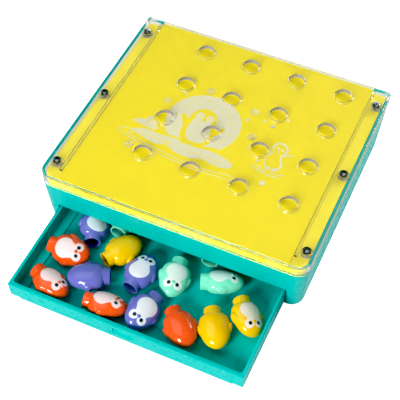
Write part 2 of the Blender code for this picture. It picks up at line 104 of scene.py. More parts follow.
# Screws that hold the cover and the deck to the base
SCREW_X = 91.0 * MM
SCREW_Y = (-70.0 * MM, 0.0, 70.0 * MM)
SCREW_HEAD_RADIUS = 2.6 * MM
SCREW_HEAD_HEIGHT = 1.6 * MM
SCREW_SHANK_RADIUS = 1.3 * MM
SCREW_BORE_RADIUS = 1.7 * MM
SCREW_SHANK_BOTTOM = 28.0 * MM
COUNTERBORE_RADIUS = 3.0 * MM
COUNTERBORE_DEPTH = 2.6 * MM

# Drawer, drawn closed: its front is then flush with the base
DRAWER_HALF_WIDTH = 84.1 * MM
DRAWER_TOP = 15.2 * MM
DRAWER_BOTTOM = 0.4 * MM
DRAWER_FRONT = -84.5 * MM
DRAWER_BACK = 80.0 * MM
DRAWER_LEAN = 1.1 * MM
DRAWER_FLOOR = 1.0 * MM
DRAWER_SIDE_WALL = 2.1 * MM
DRAWER_FRONT_WALL = 3.4 * MM
DRAWER_BACK_WALL = 2.0 * MM
RIM_STEP_DEPTH = 0.5 * MM  # the inner half of the front rim lies this much lower
RIM_STEP_WIDTH = 1.5 * MM
NOTCH_WIDTH = LEDGE_WIDTH + 0.1 * MM
NOTCH_TOP = LEDGE_THICKNESS + GAP
SCOOP_HALF_WIDTH = 7.5 * MM
SCOOP_DEPTH = 1.1 * MM
SCOOP_BOTTOM = 5.0 * MM
SCOOP_TOP = 12.4 * MM
STOP_FRONT = 26.7 * MM
STOP_LENGTH = 6.0 * MM
STOP_TOP = 21.0 * MM

# Penguin peg, standing on its stem, whose end is STEM_LENGTH under Z = 0. Its belly faces -Y
PEG_WIDE = 10.2 * MM
PEG_DEEP = 7.05 * MM
PEG_WAIST = 8.0 * MM
PEG_TOP = 23.5 * MM
PEG_BELLY_DROP = 10.4 * MM
PEG_SHOULDER = 3.0  # how square the lower half is: 2 would be an oval
STEM_RADIUS = 5.8 * MM
STEM_BORE_RADIUS = 4.9 * MM
STEM_LENGTH = 5.8 * MM
STEM_ROOT = 3.0 * MM
STEM_LIP = 0.25 * MM
BORE_ROUNDING = 0.8 * MM
BORE_TOP = 4.0 * MM
FLIPPER_AT = (9.2 * MM, 0.0, 9.8 * MM)
FLIPPER_HALF_SIZE = (1.9 * MM, 3.1 * MM, 4.7 * MM)
FLIPPER_TILT = math.radians(20)
BEAK_AT = (0.0, -5.75 * MM, 15.5 * MM)
BEAK_HALF_SIZE = (1.25 * MM, 1.15 * MM, 0.95 * MM)
PEG_VOXEL = 0.33 * MM
PEG_PLACE = "place_on_peg"  # each point's place in the peg's own frame

# The way each peg's head points, in degrees from +X, and its roll from belly up.
PEG_TURNS = {
    "purple": [(112, -24), (-155, 180), (85, 0), (-103, 24)],
    "red": [(2, -24), (-21, 24), (9, 24), (-44.5, 180)],
    "yellow": [(62, 180), (-59, 180), (-50, 24), (100, 180)],
    "mint": [(91, 0), (-81, 12), (22, 24), (95, 0)],
}

# The print on a peg's front: the middle and the radii of each oval, in mm of the peg's X and Z
BELLY_PRINT = ((0.0, 6.9), (7.1, 6.5))
CHEST_PRINT = ((0.0, 12.0), (4.6, 4.2))
EYE_PRINT = ((3.25, 16.4), (3.15, 3.1))
PUPIL_PRINT = ((2.95, 16.4), (1.25, 1.25))
BEAK_PRINT = ((0.0, 15.6), (1.35, 1.15))
BORE_SHADE = 0.22  # how dark the painted shade deep in the hollow of the stem is
BORE_MARGIN = 0.05 * MM

# Colours as linear red, green and blue
TEAL = (0.0, 0.50, 0.455)
DECK_YELLOW = (0.85, 0.72, 0.05)
CARD_YELLOW = (0.80, 0.65, 0.002)
INK_CREAM = (0.67, 0.63, 0.41)
PEG_COLOURS = {
    "red": ((0.86, 0.095, 0.010), (0.86, 0.70, 0.70)),
    "purple": ((0.150, 0.155, 0.52), (0.76, 0.79, 0.86)),
    "yellow": ((0.90, 0.55, 0.0), (0.88, 0.79, 0.63)),
    "mint": ((0.22, 0.82, 0.56), (0.76, 0.86, 0.79)),
}
EYE_BLACK = (0.006, 0.006, 0.008, 1.0)
THROUGH_COVER = (0.60, 0.61, 0.61, 1.0)  # the light that each face of the cover lets through

# Quality of rounded shapes
QUARTER_TURN = [math.radians(angle) for angle in (0, 22.5, 45, 67.5, 90)]
BEVEL_ANGLE = math.radians(32)  # edges that turn by more than this are rounded
BORE_SIDES = 16
FRONT_LIMIT = 0.1  # a wall with a smaller Y in its normal faces the front

# Lamps: azimuth and elevation in degrees, distance and size in metres, power in watts
LAMPS = {
    "overhead": (-75, 66, 1.5, 1.2, 6),
    "front_key": (-8, 30, 1.1, 0.3, 11),
    "rear_side": (152, 25, 1.4, 0.5, 18),
}
ROOM_LIGHT = 0.2  # the world's strength for every ray but the camera's
BLACK_LEVEL = (0.035, 0.015, 0.012)  # of the display curve, in red, green and blue

# The camera, and the point that it looks at. The lens and the sensor are in mm
CAMERA_AT = Vector((183.9, -413.5, 586.3)) * MM
CAMERA_AIM = Vector((12.2, -26.7, 46.8)) * MM
CAMERA_ROLL = math.radians(0.563)
CAMERA_LENS = 93.42
CAMERA_SENSOR = 36.0

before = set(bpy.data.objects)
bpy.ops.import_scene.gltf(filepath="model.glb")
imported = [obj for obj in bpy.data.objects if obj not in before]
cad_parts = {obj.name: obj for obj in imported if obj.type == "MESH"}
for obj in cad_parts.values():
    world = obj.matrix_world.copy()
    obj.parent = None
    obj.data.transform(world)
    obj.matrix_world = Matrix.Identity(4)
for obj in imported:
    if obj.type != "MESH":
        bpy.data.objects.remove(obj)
cad_low, cad_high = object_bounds()

base_low, base_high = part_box("base_shell")
tray_low, tray_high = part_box("drawer_tray")
BOX_FRAME = Matrix.Translation(
    ((base_low.x + base_high.x) / 2, (base_low.y + base_high.y) / 2, 0.0))
DRAWER_FRAME = Matrix.Translation(
    ((tray_low.x + tray_high.x) / 2, tray_low.y - DRAWER_FRONT, 0.0))


# ---------------------------------------------------------------- materials

def new_material(name, settings):
    """A new material, its node tree and its Principled shader with these settings."""
    material = bpy.data.materials.new(name)
    material.use_nodes = True
    tree = material.node_tree
    shader = tree.nodes["Principled BSDF"]
    for key, value in settings.items():
        shader.inputs[key].default_value = value
    return material, tree, shader


def add_node(tree, kind, inputs=(), **settings):
    """Add a node. Inputs are values or sockets, in the order of the node's own inputs."""
    node = tree.nodes.new(kind)
    for key, value in settings.items():
        setattr(node, key, value)
    for index, value in enumerate(inputs):
        if value is None:
            continue
        if isinstance(value, bpy.types.NodeSocket):
            tree.links.new(value, node.inputs[index])
        else:
            node.inputs[index].default_value = value
    return node


def maths(tree, operation, *inputs):
    """The result of a Math node."""
    return add_node(tree, "ShaderNodeMath", inputs, operation=operation).outputs[0]


def mix_colour(tree, factor, first, second):
    """The result of a Mix node, whose colours are its seventh and eighth inputs."""
    inputs = (factor, *[None] * 5, first, second)
    return add_node(tree, "ShaderNodeMix", inputs, data_type="RGBA").outputs[2]


def noise(tree, size, detail=2.0):
    """Noise between 0 and 1 whose lumps are about this size on the object."""
    place = add_node(tree, "ShaderNodeTexCoord").outputs["Object"]
    return add_node(tree, "ShaderNodeTexNoise", (place, None, 1.0 / size, detail)).outputs[0]


def set_bump(tree, shader, height, strength, distance):
    """Let a pattern stand up from the surface by the distance."""
    bump = add_node(tree, "ShaderNodeBump")
    bump.inputs["Strength"].default_value = strength
    bump.inputs["Distance"].default_value = distance
    tree.links.new(height, bump.inputs["Height"])
    tree.links.new(bump.outputs[0], shader.inputs["Normal"])


def set_roughness(tree, shader, pattern, least, most, span=(0.3, 0.7)):
    """Let the roughness follow a pattern, from the least to the most."""
    gloss = add_node(tree, "ShaderNodeMapRange", (pattern, *span, least, most))
    tree.links.new(gloss.outputs[0], shader.inputs["Roughness"])


def shade(colour, factor):
    """A colour made lighter or darker, with full alpha."""
    return (*(min(channel * factor, 1.0) for channel in colour), 1.0)


def moulded(tree, shader, colour, roughness):
    """Moulded plastic: faint flow marks in its colour, an uneven gloss and a fine grain."""
    flow = noise(tree, 22 * MM, 3.0)
    if not isinstance(colour, bpy.types.NodeSocket):
        colour = mix_colour(tree, flow, shade(colour, 0.95), shade(colour, 1.05))
    tree.links.new(colour, shader.inputs["Base Color"])
    if isinstance(roughness, bpy.types.NodeSocket):
        least, most = (maths(tree, "ADD", roughness, offset) for offset in (-0.03, 0.04))
    else:
        least, most = roughness * 0.85, roughness * 1.2
    set_roughness(tree, shader, noise(tree, 6 * MM, 4.0), least, most)
    set_bump(tree, shader, noise(tree, 0.35 * MM, 2.0), 0.03, 0.05 * MM)


def plastic(name, colour, roughness):
    """Moulded plastic of one colour."""
    material, tree, shader = new_material(name, {"IOR": 1.3})
    moulded(tree, shader, colour, roughness)
    return material


def card_stock(name, colour):
    """Printed card: paper fibres show in its colour and its surface."""
    material, tree, shader = new_material(name, {"IOR": 1.45})
    fibres = noise(tree, 1.2 * MM, 6.0)
    clouds = noise(tree, 30 * MM, 2.0)
    halves = (maths(tree, "MULTIPLY", pattern, 0.5) for pattern in (fibres, clouds))
    both = maths(tree, "ADD", *halves)
    tree.links.new(mix_colour(tree, both, shade(colour, 0.95), shade(colour, 1.05)),
                   shader.inputs["Base Color"])
    set_roughness(tree, shader, fibres, 0.45, 0.62)
    set_bump(tree, shader, fibres, 0.3, 0.05 * MM)
    return material


def clear_plastic(name):
    """Clear polystyrene that lets lamps light what lies under it."""
    material, tree, shader = new_material(name, {
        "Transmission Weight": 1.0, "IOR": 1.49, "Specular IOR Level": 0.3,
        "Base Color": (0.975, 0.985, 0.985, 1.0)})
    set_roughness(tree, shader, noise(tree, 9 * MM, 4.0), 0.0, 0.012, (0.35, 0.75))
    set_bump(tree, shader, noise(tree, 14 * MM, 2.0), 0.05, 0.1 * MM)
    through = add_node(tree, "ShaderNodeBsdfTransparent")
    through.inputs["Color"].default_value = THROUGH_COVER
    path = add_node(tree, "ShaderNodeLightPath")
    both = add_node(tree, "ShaderNodeMixShader",
                    (path.outputs["Is Shadow Ray"], shader.outputs[0], through.outputs[0]))
    tree.links.new(both.outputs[0], tree.nodes["Material Output"].inputs["Surface"])
    return material


def grey_shade_plastic(name):
    """A dull grey version of the clear plastic for some walls of holes, bosses and webs. Its grey is
    painted shade, where those clear walls look dark.
    """
    material, tree, shader = new_material(name, {"IOR": 1.49, "Transmission Weight": 0.45})
    cloud = noise(tree, 3 * MM, 3.0)
    # Painted shade: a grey that darkens the walls where the clear plastic looks dark
    grey = mix_colour(tree, cloud, (0.33, 0.31, 0.38, 1.0), (0.48, 0.46, 0.53, 1.0))
    tree.links.new(grey, shader.inputs["Base Color"])
    set_roughness(tree, shader, noise(tree, 1.5 * MM, 3.0), 0.25, 0.4)
    return material


def steel(name):
    """A black metal screw head with a bright disc painted at its middle, round its cross recess."""
    material, tree, shader = new_material(name, {"Metallic": 1.0})
    worn = noise(tree, 0.8 * MM, 4.0)
    place = add_node(tree, "ShaderNodeTexCoord").outputs["Object"]
    parts = add_node(tree, "ShaderNodeSeparateXYZ", (place,))
    # A disc of 1.2 mm radius at the middle of the head is painted bright
    from_middle = inside(tree, parts.outputs[0], parts.outputs[1], (0.0, 0.0), (1.2, 1.2))
    recess = mask(tree, from_middle, 0.12)
    black = mix_colour(tree, worn, (0.010, 0.011, 0.013, 1.0), (0.035, 0.035, 0.04, 1.0))
    bright = mix_colour(tree, worn, (0.62, 0.60, 0.55, 1.0), (0.80, 0.78, 0.72, 1.0))
    tree.links.new(mix_colour(tree, recess, black, bright), shader.inputs["Base Color"])
    set_roughness(tree, shader, worn, 0.25, 0.45)
    return material


def inside(tree, x, z, centre, radii):
    """How far out a point is in an oval: 0 in its middle and 1 on its edge."""
    across = maths(tree, "DIVIDE", maths(tree, "SUBTRACT", x, centre[0] * MM), radii[0] * MM)
    along = maths(tree, "DIVIDE", maths(tree, "SUBTRACT", z, centre[1] * MM), radii[1] * MM)
    return length(tree, across, along)


def length(tree, across, along):
    """The length of a line that goes this far across and this far along."""
    squares = (maths(tree, "MULTIPLY", side, side) for side in (across, along))
    return maths(tree, "SQRT", maths(tree, "ADD", *squares))


def mask(tree, distance, softness=0.03):
    """1 where a distance is under 1 and 0 where it is over 1, with a soft change between."""
    node = add_node(tree, "ShaderNodeMapRange",
                    (distance, 1.0 - softness, 1.0 + softness, 1.0, 0.0))
    return node.outputs[0]


def peg_plastic(name, colour, belly_colour):
    """A glossy peg whose belly and eyes are printed on its front, with painted shade inside its
    hollow stem.
    """
    material, tree, shader = new_material(name, {"IOR": 1.5})
    place = add_node(tree, "ShaderNodeAttribute", attribute_name=PEG_PLACE).outputs["Vector"]
    parts = add_node(tree, "ShaderNodeSeparateXYZ", (place,))
    x, y, z = parts.outputs[0], parts.outputs[1], parts.outputs[2]
    aside = maths(tree, "ABSOLUTE", x)

    belly = inside(tree, x, z, *BELLY_PRINT)
    chest = inside(tree, x, z, *CHEST_PRINT)
    eye = inside(tree, aside, z, *EYE_PRINT)
    patch = maths(tree, "SMOOTH_MIN", belly, chest, 0.35)
    patch = maths(tree, "SMOOTH_MIN", patch, eye, 0.10)
    beak = inside(tree, x, z, *BEAK_PRINT)
    pupil = inside(tree, aside, z, *PUPIL_PRINT)

    front = mask(tree, maths(tree, "ADD", maths(tree, "DIVIDE", y, 1.0 * MM), 2.0), 0.2)
    printed = maths(tree, "MULTIPLY", mask(tree, patch), front)
    printed = maths(tree, "MULTIPLY", printed, maths(tree, "SUBTRACT", 1.0, mask(tree, beak)))
    black = maths(tree, "MULTIPLY", mask(tree, pupil, 0.08), front)

    flow = noise(tree, 12 * MM, 3.0)
    body = mix_colour(tree, flow, shade(colour, 0.94), shade(colour, 1.06))
    ink = mix_colour(tree, flow, shade(belly_colour, 0.97), shade(belly_colour, 1.03))
    painted = mix_colour(tree, printed, body, ink)
    painted = mix_colour(tree, black, painted, EYE_BLACK)
    # Painted shade: the hollow of the stem is painted darker the deeper it goes
    deep = add_node(tree, "ShaderNodeMapRange",
                    (z, -STEM_LENGTH + STEM_LIP, -STEM_LENGTH + 3 * MM, 0.0, 0.85)).outputs[0]
    in_bore = maths(tree, "MULTIPLY",
                    maths(tree, "LESS_THAN", length(tree, x, y), STEM_BORE_RADIUS + BORE_MARGIN),
                    maths(tree, "LESS_THAN", z, BORE_TOP + BORE_MARGIN))
    hollow = maths(tree, "MULTIPLY", in_bore, deep)
    painted = mix_colour(tree, hollow, painted, shade(colour, BORE_SHADE))
    gloss = maths(tree, "ADD", maths(tree, "MULTIPLY", printed, 0.18), 0.13)
    moulded(tree, shader, painted, gloss)
    return material


# ---------------------------------------------------------------- meshes

def finish_mesh(name, bm):
    """Turn a bmesh into a mesh whose faces point outwards."""
    bmesh.ops.recalc_face_normals(bm, faces=bm.faces)
    mesh = bpy.data.meshes.new(name)
    bm.to_mesh(mesh)
    bm.free()
    return mesh


def add_box(bm, low, high):
    """Add a box between two corners to a bmesh, and return its vertices."""
    low, high = Vector(low), Vector(high)
    place = Matrix.Translation((low + high) / 2) @ Matrix.Diagonal((*(high - low), 1.0))
    return bmesh.ops.create_cube(bm, size=1.0, matrix=place)["verts"]


def round_edges(bm, edges, radius, segments=3):
    """Round some edges of a bmesh."""
    bmesh.ops.bevel(bm, geom=edges, offset=radius, offset_type="OFFSET", segments=segments,
                    profile=0.5, affect="EDGES")


def boxes_mesh(name, corners, rounding=0.0):
    """One mesh of several boxes, each given as its low and high corner."""
    bm = bmesh.new()
    for low, high in corners:
        add_box(bm, low, high)
    if rounding:
        round_edges(bm, bm.edges[:], rounding, 2)
    return finish_mesh(name, bm)


def cylinders_mesh(name, centres, low, high, radius, sides):
    """One mesh of equal upright cylinders."""
    bm = bmesh.new()
    for x, y in centres:
        bmesh.ops.create_cone(bm, cap_ends=True, segments=sides, radius1=radius, radius2=radius,
                              depth=high - low, matrix=Matrix.Translation((x, y, (low + high) / 2)))
    return finish_mesh(name, bm)


def rounded_block(name, half_width, half_depth, bottom, top, front_radius, rear_radius, draft=0.0,
                  top_edge=0.0, bottom_edge=0.0):
    """A block with rounded upright edges, whose lower face is drawn in by the draft."""
    bm = bmesh.new()
    add_box(bm, (-half_width, -half_depth, bottom), (half_width, half_depth, top))
    for radius, side in ((front_radius, -1), (rear_radius, 1)):
        upright = [line for line in bm.edges
                   if abs(line.verts[0].co.z - line.verts[1].co.z) > (top - bottom) / 2
                   and line.verts[0].co.y * side > 0]
        round_edges(bm, upright, radius, 12)
    middle = (bottom + top) / 2
    for vert in bm.verts:
        if vert.co.z < middle:
            vert.co.x -= math.copysign(draft, vert.co.x)
            vert.co.y -= math.copysign(draft, vert.co.y)
    for radius, height in ((top_edge, top), (bottom_edge, bottom)):
        if radius:
            level = [line for line in bm.edges
                     if all(abs(vert.co.z - height) < 1e-7 for vert in line.verts)]
            round_edges(bm, level, radius)
    return finish_mesh(name, bm)


def turned_mesh(name, profile, sides):
    """A turned solid. Its profile of X and Z points runs down the outer side."""
    bm = bmesh.new()
    rings = []
    for x, z in profile:
        if x < 1e-7:
            rings.append([bm.verts.new((0.0, 0.0, z))] * sides)
            continue
        rings.append([bm.verts.new((x * math.cos(2 * math.pi * i / sides),
                                    x * math.sin(2 * math.pi * i / sides), z)) for i in range(sides)])
    for upper, lower in zip(rings, rings[1:]):
        for i in range(sides):
            j = (i + 1) % sides
            corners = [upper[i], upper[j], lower[j], lower[i]]
            bm.faces.new(list(dict.fromkeys(corners)))
    return finish_mesh(name, bm)


def turned_at(name, places, profile, sides):
    """Copies of one turned solid at several places, in one mesh."""
    one = turned_mesh(name, profile, sides)
    bm = bmesh.new()
    for x, y in places:
        start = len(bm.verts)
        bm.from_mesh(one)
        bm.verts.ensure_lookup_table()
        bmesh.ops.translate(bm, vec=(x, y, 0.0), verts=bm.verts[start:])
    return finish_mesh(name, bm)


def hole_profile(radius, top, bottom, lip, blind=False):
    """Outline of a hole whose mouths flare by the lip. A blind hole has a flat bottom."""
    points = [(0.0, top + OVERLAP), (radius + lip, top + OVERLAP)]
    points += [(radius + lip * (1 - math.sin(a)), top - lip * (1 - math.cos(a)))
               for a in QUARTER_TURN]
    if blind:
        return points + [(radius, bottom), (0.0, bottom)]
    points += [(radius + lip * (1 - math.cos(a)), bottom + lip * (1 - math.sin(a)))
               for a in QUARTER_TURN]
    return points + [(radius + lip, bottom - OVERLAP), (0.0, bottom - OVERLAP)]


def boss_profile(radius, top, bottom, lip):
    """Outline of a round boss that hangs down, with a rounded lower edge."""
    points = [(0.0, top), (radius, top)]
    points += [(radius - lip * (1 - math.cos(a)), bottom + lip * (1 - math.sin(a)))
               for a in QUARTER_TURN]
    return points + [(0.0, bottom)]


def mirrored(low, high):
    """A box on the right of the object and its twin on the left."""
    return [(low, high), ((-high[0], low[1], low[2]), (-low[0], high[1], high[2]))]


def blank(name, mesh, matrix=Matrix.Identity(4)):
    """A new object in the scene."""
    obj = bpy.data.objects.new(name, mesh)
    obj.matrix_world = matrix
    bpy.context.scene.collection.objects.link(obj)
    return obj


def combine(obj, mesh, operation):
    """Apply a boolean operation with a shape to an object."""
    modifier = obj.modifiers.new(operation.lower(), "BOOLEAN")
    modifier.operation = operation
    modifier.object = blank(mesh.name + "_tool", mesh)
    modifier.solver = "EXACT"


def cut(obj, mesh):
    """Cut a shape out of an object."""
    combine(obj, mesh, "DIFFERENCE")


def join(obj, mesh):
    """Join a shape to an object."""
    combine(obj, mesh, "UNION")


def add_bevel(obj, width, segments=3, split=False):
    """Round an object's sharp edges. Split cuts its many-sided faces into triangles first."""
    if split:
        triangles = obj.modifiers.new("triangles", "TRIANGULATE")
        triangles.min_vertices = 5
    bevel = obj.modifiers.new("bevel", "BEVEL")
    bevel.width = width
    bevel.segments = segments
    bevel.limit_method = "ANGLE"
    bevel.angle_limit = BEVEL_ANGLE
    bevel.use_clamp_overlap = False
    even_shading(obj)


def even_shading(obj):
    """Keep an object's flat faces flat in shading where rounded edges meet them."""
    weighted = obj.modifiers.new("weighted", "WEIGHTED_NORMAL")
    weighted.keep_sharp = True
    weighted.weight = 60


def settle(obj):
    """Apply an object's modifiers and remove the shapes they used."""
    tools = [modifier.object for modifier in obj.modifiers if modifier.type == "BOOLEAN"]
    bpy.context.view_layer.update()
    graph = bpy.context.evaluated_depsgraph_get()
    mesh = bpy.data.meshes.new_from_object(obj.evaluated_get(graph), depsgraph=graph)
    obj.modifiers.clear()
    obj.data = mesh
    mesh.name = obj.name
    for tool in tools:
        bpy.data.objects.remove(tool, do_unlink=True)
    return obj


def smooth(mesh):
    """Shade a mesh smooth."""
    mesh.shade_smooth()
    return mesh


def piece(obj, body, materials, replaces=None):
    """Give a finished object its materials, its body and the node it stands for."""
    for material in materials:
        obj.data.materials.append(material)
    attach(obj, body)
    if replaces:
        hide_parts(replaces)
    return obj


def screw_places():
    """X and Y of the six screws."""
    return [(side * SCREW_X, y) for side in (-1, 1) for y in SCREW_Y]


def hole_places():
    """X and Y of the sixteen peg holes."""
    steps = [(index - (HOLES_PER_SIDE - 1) / 2) * HOLE_PITCH for index in range(HOLES_PER_SIDE)]
    return [(BOARD_CENTRE[0] + x, BOARD_CENTRE[1] + y) for y in steps for x in steps]


# ---------------------------------------------------------------- the box

def make_base(material):
    """The open-bottomed teal box, with the drawer's mouth, its guides and the screw posts."""
    base = blank("base", smooth(rounded_block(
        "base", HALF_WIDTH, HALF_DEPTH, 0.0, BASE_TOP, BASE_CORNER, BASE_CORNER, BASE_DRAFT)))
    inner_corner = BASE_CORNER - BASE_WALL
    cut(base, rounded_block(
        "room", HALF_WIDTH - BASE_WALL, HALF_DEPTH - BASE_WALL, -OVERLAP,
        BASE_TOP - TOP_RIM_THICKNESS, inner_corner, inner_corner, BASE_DRAFT))
    cut(base, rounded_block(
        "rim_hole", HALF_WIDTH - TOP_RIM_WIDTH - BASE_WALL - POST_RADIUS,
        HALF_DEPTH - TOP_RIM_WIDTH - BASE_WALL, BASE_TOP - 2 * TOP_RIM_THICKNESS,
        BASE_TOP + OVERLAP, BASE_CORNER / 2, BASE_CORNER / 2))
    inner_front = -(HALF_DEPTH - BASE_WALL) + OVERLAP
    inner_back = HALF_DEPTH - BASE_WALL - BASE_DRAFT + OVERLAP
    join(base, boxes_mesh("guides", mirrored(
        (MOUTH_HALF_WIDTH, inner_front, 0.0),
        (MOUTH_HALF_WIDTH + GUIDE_WALL, inner_back, LINTEL_BOTTOM + OVERLAP))))
    join(base, boxes_mesh("ledges", mirrored(
        (MOUTH_HALF_WIDTH - LEDGE_WIDTH, inner_front + BASE_DRAFT, 0.0),
        (MOUTH_HALF_WIDTH + OVERLAP, inner_back - OVERLAP / 2, LEDGE_THICKNESS))))
    join(base, cylinders_mesh("posts", screw_places(), POST_BOTTOM,
                              BASE_TOP - TOP_RIM_THICKNESS + OVERLAP, POST_RADIUS, 24))
    cut(base, cylinders_mesh("bores", screw_places(), SCREW_SHANK_BOTTOM - 1.5 * MM,
                             BASE_TOP + OVERLAP, SCREW_BORE_RADIUS, BORE_SIDES))
    mouth_front, mouth_back = -HALF_DEPTH - OVERLAP, -HALF_DEPTH + 3 * BASE_WALL
    cut(base, boxes_mesh("mouth", [(
        (-MOUTH_HALF_WIDTH, mouth_front, LEDGE_THICKNESS),
        (MOUTH_HALF_WIDTH, mouth_back, LINTEL_BOTTOM))]))
    ledge_edge = MOUTH_HALF_WIDTH - LEDGE_WIDTH
    cut(base, boxes_mesh("mouth_foot", [(
        (-ledge_edge, mouth_front, -OVERLAP),
        (ledge_edge, mouth_back, LEDGE_THICKNESS + OVERLAP))]))
    add_bevel(base, 0.4 * MM)
    settle(base).matrix_world = BOX_FRAME
    return piece(base, "base", [material], "base_shell")


def make_deck(material):
    """The yellow plate with downturned edges that lies on the base under the card."""
    half_width = HALF_WIDTH - SKIRT_WALL - DECK_CLEARANCE
    half_depth = HALF_DEPTH - SKIRT_WALL - DECK_CLEARANCE
    corner = BASE_CORNER - SKIRT_WALL
    deck = blank("deck", smooth(rounded_block(
        "deck", half_width, half_depth, SKIRT_BOTTOM, DECK_TOP, corner, REAR_CORNER)))
    cut(deck, rounded_block(
        "deck_room", half_width - DECK_WALL, half_depth - DECK_WALL, SKIRT_BOTTOM - OVERLAP,
        DECK_TOP - DECK_THICKNESS, corner - DECK_WALL, REAR_CORNER / 2))
    cut(deck, cylinders_mesh("deck_bores", screw_places(), SKIRT_BOTTOM, DECK_TOP + OVERLAP,
                             SCREW_BORE_RADIUS, BORE_SIDES))
    add_bevel(deck, 0.5 * MM)
    settle(deck).matrix_world = BOX_FRAME
    return piece(deck, "base", [material], "yellow_deck")


def paint_shade_on_walls(mesh):
    """Give the walls of bosses and webs and the rear half of each hole the second material, whose
    grey is painted shade.
    """
    for face in mesh.polygons:
        if abs(face.normal.z) > 0.6:
            continue
        x, y, _ = face.center
        in_hole = face.normal.y < FRONT_LIMIT and any(
            math.hypot(x - u, y - v) < HOLE_RADIUS + OVERLAP / 2 for u, v in hole_places())
        near_screw = any(COUNTERBORE_RADIUS < math.hypot(x - u, y - v) < BOSS_RADIUS + OVERLAP / 2
                         for u, v in screw_places())
        on_web = abs(face.normal.y) > 0.7 and abs(x) > SCREW_X and any(
            abs(y - v) < WEB_THICKNESS for v in SCREW_Y)
        # These walls take the grey painted shade
        if in_hole or near_screw or on_web:
            face.material_index = 1


def make_cover(clear, grey_shade):
    """The clear cover: plate, skirt open at the back, card guide ribs, bosses, collars, holes."""
    cover = blank("cover", smooth(rounded_block(
        "cover", HALF_WIDTH, HALF_DEPTH, SKIRT_BOTTOM, HEIGHT, BASE_CORNER, REAR_CORNER,
        top_edge=0.7 * MM, bottom_edge=0.3 * MM)))
    plate_bottom = HEIGHT - COVER_PLATE
    cut(cover, rounded_block(
        "cover_room", HALF_WIDTH - SKIRT_WALL, HALF_DEPTH - SKIRT_WALL, SKIRT_BOTTOM - OVERLAP,
        plate_bottom, BASE_CORNER - SKIRT_WALL, REAR_CORNER / 2, top_edge=0.4 * MM))
    rib_outside = RIB_X + RIB_THICKNESS / 2
    rib_inside = RIB_X - RIB_THICKNESS / 2
    cut(cover, boxes_mesh("card_exit", [(
        (-rib_inside, HALF_DEPTH - 2 * SKIRT_WALL, SKIRT_BOTTOM - OVERLAP),
        (rib_inside, HALF_DEPTH + OVERLAP, plate_bottom))]))
    ribs = mirrored((rib_inside, -RIB_HALF_LENGTH, CARD_BOTTOM),
                    (rib_outside, RIB_HALF_LENGTH, plate_bottom + OVERLAP))
    ribs += mirrored((rib_inside + OVERLAP / 2, REAR_RIB_FRONT, CARD_BOTTOM),
                     (rib_outside, HALF_DEPTH - OVERLAP, plate_bottom + OVERLAP))
    join(cover, boxes_mesh("ribs", ribs, 0.25 * MM))
    webs = []
    for y in SCREW_Y:
        webs += mirrored((SCREW_X, y - WEB_THICKNESS / 2, CARD_BOTTOM + GAP),
                         (HALF_WIDTH - SKIRT_WALL + OVERLAP, y + WEB_THICKNESS / 2,
                          plate_bottom + OVERLAP))
    join(cover, boxes_mesh("webs", webs, 0.15 * MM))
    join(cover, turned_at("bosses", screw_places(), boss_profile(
        BOSS_RADIUS, plate_bottom + OVERLAP, CARD_BOTTOM, 0.3 * MM), 40))
    join(cover, turned_at("collars", hole_places(), boss_profile(
        COLLAR_RADIUS, plate_bottom + OVERLAP, CARD_TOP + GAP, 0.3 * MM), 48))
    cut(cover, turned_at("holes", hole_places(), hole_profile(
        HOLE_RADIUS, HEIGHT, CARD_TOP + GAP, 0.3 * MM), 48))
    cut(cover, turned_at("counterbores", screw_places(), hole_profile(
        COUNTERBORE_RADIUS, HEIGHT, HEIGHT - COUNTERBORE_DEPTH, 0.2 * MM, blind=True), 40))
    cut(cover, cylinders_mesh("cover_bores", screw_places(), CARD_BOTTOM - OVERLAP, HEIGHT,
                              SCREW_BORE_RADIUS, BORE_SIDES))
    even_shading(cover)
    paint_shade_on_walls(settle(cover).data)
    cover.matrix_world = BOX_FRAME
    return piece(cover, "base", [clear, grey_shade], "clear_cover")


def make_screws(material):
    """Six screws, each a domed head with a cross recess on a shank."""
    head_bottom = HEIGHT - COUNTERBORE_DEPTH + GAP
    head_top = head_bottom + SCREW_HEAD_HEIGHT
    dome = 0.8 * MM
    head = [(SCREW_HEAD_RADIUS * math.sin(math.radians(a)),
             head_top - dome * (1 - math.cos(math.radians(a)))) for a in range(0, 91, 10)]
    profile = head + [(SCREW_HEAD_RADIUS, head_bottom + 0.1 * MM),
                      (SCREW_HEAD_RADIUS - 0.1 * MM, head_bottom),
                      (SCREW_SHANK_RADIUS, head_bottom),
                      (SCREW_SHANK_RADIUS, SCREW_SHANK_BOTTOM + 1.2 * MM),
                      (0.0, SCREW_SHANK_BOTTOM)]
    screw = blank("screw", smooth(turned_mesh("screw", profile, 32)))
    for reach, breadth in ((1.5 * MM, 0.28 * MM), (0.28 * MM, 1.5 * MM)):
        arm = ((-reach, -breadth, head_top - dome), (reach, breadth, head_top + OVERLAP))
        cut(screw, boxes_mesh("arm", [arm]))
    settle(screw)
    screw.data.set_sharp_from_angle(angle=math.radians(35))
    mesh = screw.data
    bpy.data.objects.remove(screw, do_unlink=True)
    for index, (x, y) in enumerate(screw_places(), start=1):
        turn = Matrix.Rotation(math.radians(17 * index), 4, "Z")
        obj = blank(f"screw_{index}", mesh, BOX_FRAME @ Matrix.Translation((x, y, 0.0)) @ turn)
        piece(obj, "base", [material], f"cover_screw_{index}")


# ---------------------------------------------------------------- the card

def oval(x, y, across, along, turn=0.0, points=48):
    """The outline of an oval, in mm."""
    lean = math.radians(turn)
    out = []
    for index in range(points):
        angle = 2 * math.pi * index / points
        u, v = across * math.cos(angle), along * math.sin(angle)
        out.append((x + u * math.cos(lean) - v * math.sin(lean),
                    y + u * math.sin(lean) + v * math.cos(lean)))
    return out


